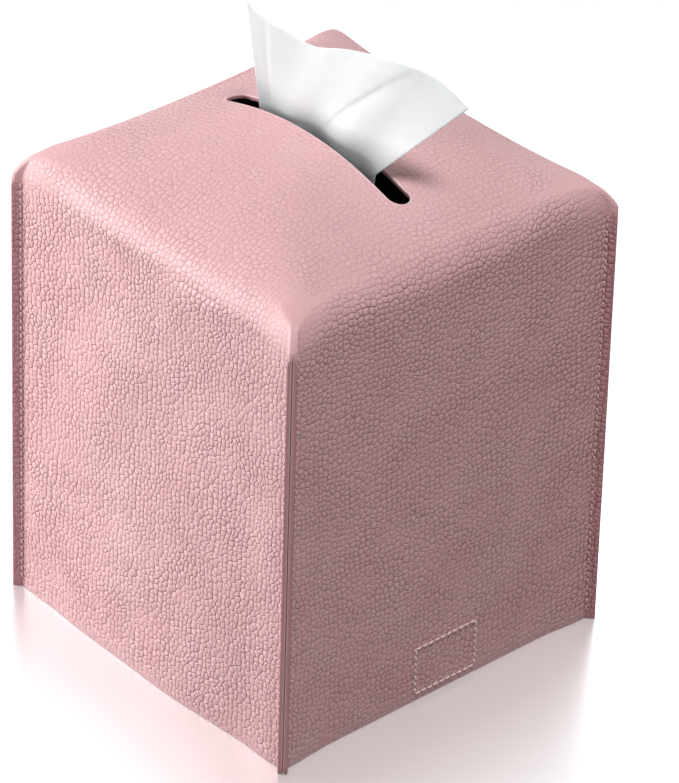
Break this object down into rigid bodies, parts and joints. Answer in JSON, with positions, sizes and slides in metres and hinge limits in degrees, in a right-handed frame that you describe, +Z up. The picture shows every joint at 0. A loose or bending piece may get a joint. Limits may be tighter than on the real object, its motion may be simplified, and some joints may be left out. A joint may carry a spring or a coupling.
{
  "type": "tissue box cover",
  "caption": "Soft leather cover that drops over a cube carton of tissues, with sewn outward corner seams, a long slot in the puffed top and a hook-and-loop belt underneath",
  "frame": {"origin": "On the table, under the middle of the cover.", "axes": "+Z up; -Y is the plain front wall; the slot and the belt run along X, and the seen sewn rectangle of the belt is on the +X wall."},
  "size_m": [0.1298, 0.1298, 0.205],
  "materials": {
    "leather": "pebble-grained, semi-matt pink",
    "lining": "black brushed microfibre",
    "thread": "pale pink polyester thread",
    "belt": "black woven webbing",
    "hooks": "black nylon hook tape",
    "loops": "black nylon loop tape",
    "tissue": "soft white tissue paper"
  },
  "bodies": {
    "cover": {"leather_cover": "leather", "lining": "lining", "seam_stitching_front_left": "thread", "seam_stitching_front_right": "thread", "seam_stitching_back_right": "thread", "seam_stitching_back_left": "thread", "belt_tab_left": "belt", "belt_tab_right": "belt", "tab_stitching_left": "thread", "tab_stitching_right": "thread"},
    "upper_strap": {"belt_strap_upper": "belt", "loop_patch": "loops", "loop_patch_stitching": "thread"},
    "lower_strap": {"belt_strap_lower": "belt", "hook_patch": "hooks", "hook_patch_stitching": "thread"},
    "drawn_tissue": {"tissue": "tissue"}
  },
  "joints": [
    {"name": "upper_strap_fold", "type": "hinge", "parent": "cover", "child": "upper_strap", "pos_m": [-0.05535, 0.003, 0.001], "axis": [0, -1, 0], "range_deg": [0, 85]},
    {"name": "lower_strap_fold", "type": "hinge", "parent": "cover", "child": "lower_strap", "pos_m": [0.05535, 0.003, 0.001], "axis": [0, -1, 0], "range_deg": [0, 90]},
    {"name": "tissue_pull", "type": "slide", "parent": "cover", "child": "drawn_tissue", "axis": [0, 0, 1], "range_m": [0, 0.04]}
  ]
}
